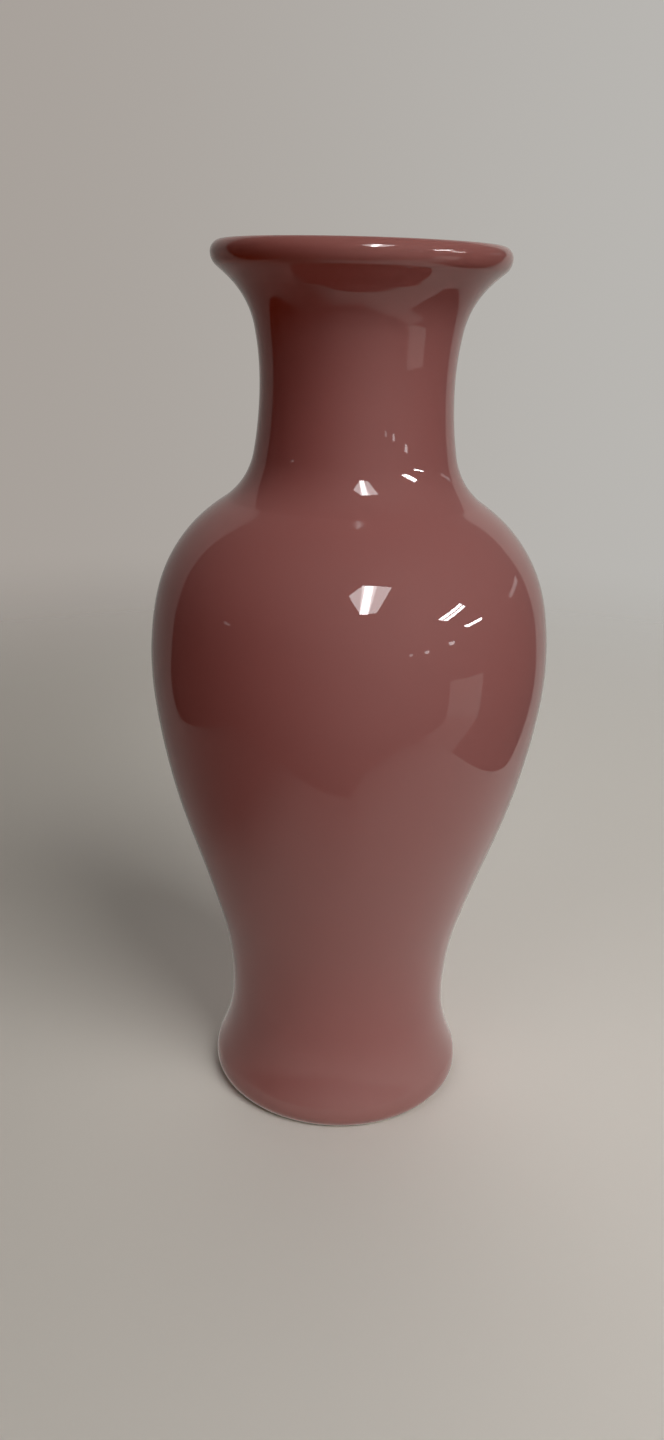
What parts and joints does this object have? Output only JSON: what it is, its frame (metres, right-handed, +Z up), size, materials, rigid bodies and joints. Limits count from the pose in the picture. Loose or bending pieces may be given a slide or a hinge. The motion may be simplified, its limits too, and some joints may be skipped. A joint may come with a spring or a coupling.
{
  "type": "baluster vase",
  "caption": "Tall round baluster vase with spreading foot, narrow waist, full belly and short neck flaring to a rolled lip; a glazed clay vessel that holds cut stems in water.",
  "frame": {"origin": "middle of the foot ring's standing face, on the vase's axis", "axes": "+Z up along the axis of revolution; X and Y may be any pair across it, because the vase is round"},
  "size_m": [0.1626, 0.1626, 0.356],
  "materials": {
    "fired_clay": "bare matte fired clay",
    "rose_glaze": "high gloss dusky rose glaze"
  },
  "bodies": {
    "root": {"clay_body": "fired_clay", "outer_glaze": "rose_glaze", "inner_glaze": "rose_glaze", "base_glaze": "rose_glaze"}
  },
  "joints": []
}
